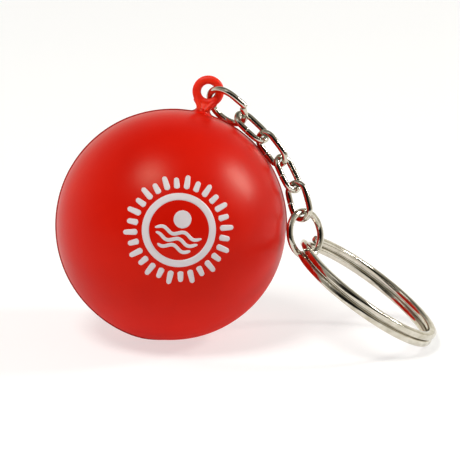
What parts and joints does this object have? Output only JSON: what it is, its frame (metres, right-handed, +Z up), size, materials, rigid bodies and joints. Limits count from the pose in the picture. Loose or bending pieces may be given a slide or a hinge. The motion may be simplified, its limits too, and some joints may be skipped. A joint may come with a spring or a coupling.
{
  "type": "stress ball key chain",
  "caption": "Round red foam stress ball with a moulded eyelet, a short nickel link chain draped down its side and a split ring for keys.",
  "frame": {"origin": "middle of the small flat that the ball sits on", "axes": "+Z up through the ball, +X towards the split ring, -Y the printed front"},
  "size_m": [0.0658, 0.04, 0.0446],
  "materials": {
    "red_skin": "satin painted foam skin with a soft sheen",
    "pale_foam": "open fine-celled cream foam",
    "red_plastic": "moulded, slightly glossy",
    "nickel": "bright nickel plate on bent steel wire"
  },
  "bodies": {
    "ball": {"ball_skin": "red_skin", "foam_core": "pale_foam", "eyelet": "red_plastic"},
    "eyelet_ring": {"eyelet_ring": "nickel"},
    "chain_link_1": {"chain_link_1": "nickel"},
    "chain_link_2": {"chain_link_2": "nickel"},
    "chain_link_3": {"chain_link_3": "nickel"},
    "chain_link_4": {"chain_link_4": "nickel"},
    "end_ring": {"end_ring": "nickel"},
    "split_ring": {"split_ring": "nickel"}
  },
  "joints": [
    {"name": "eyelet_swing", "type": "hinge", "parent": "ball", "child": "eyelet_ring", "pos_m": [0.00645, 0.00601, 0.04201], "axis": [-0.115, -0.9504, 0.289], "range_deg": [0, 120]},
    {"name": "link_1_swing", "type": "hinge", "parent": "eyelet_ring", "child": "chain_link_1", "pos_m": [0.01256, 0.00391, 0.03754], "axis": [-0.115, -0.9504, 0.289], "range_deg": [0, 25]},
    {"name": "link_2_swing", "type": "hinge", "parent": "chain_link_1", "child": "chain_link_2", "pos_m": [0.01627, 0.00247, 0.03428], "axis": [-0.115, -0.9504, 0.289], "range_deg": [0, 25]},
    {"name": "link_3_swing", "type": "hinge", "parent": "chain_link_2", "child": "chain_link_3", "pos_m": [0.01935, 0.00093, 0.03045], "axis": [-0.115, -0.9504, 0.289], "range_deg": [0, 25]},
    {"name": "link_4_swing", "type": "hinge", "parent": "chain_link_3", "child": "chain_link_4", "pos_m": [0.02159, -0.00067, 0.0261], "axis": [-0.115, -0.9504, 0.289], "range_deg": [0, 25]},
    {"name": "end_ring_swing", "type": "hinge", "parent": "chain_link_4", "child": "end_ring", "pos_m": [0.02291, -0.00226, 0.02138], "axis": [-0.115, -0.9504, 0.289], "range_deg": [0, 25]},
    {"name": "split_ring_swing", "type": "hinge", "parent": "end_ring", "child": "split_ring", "pos_m": [0.02285, -0.00421, 0.01688], "axis": [0, -1, 0], "range_deg": [-35, 60]}
  ]
}
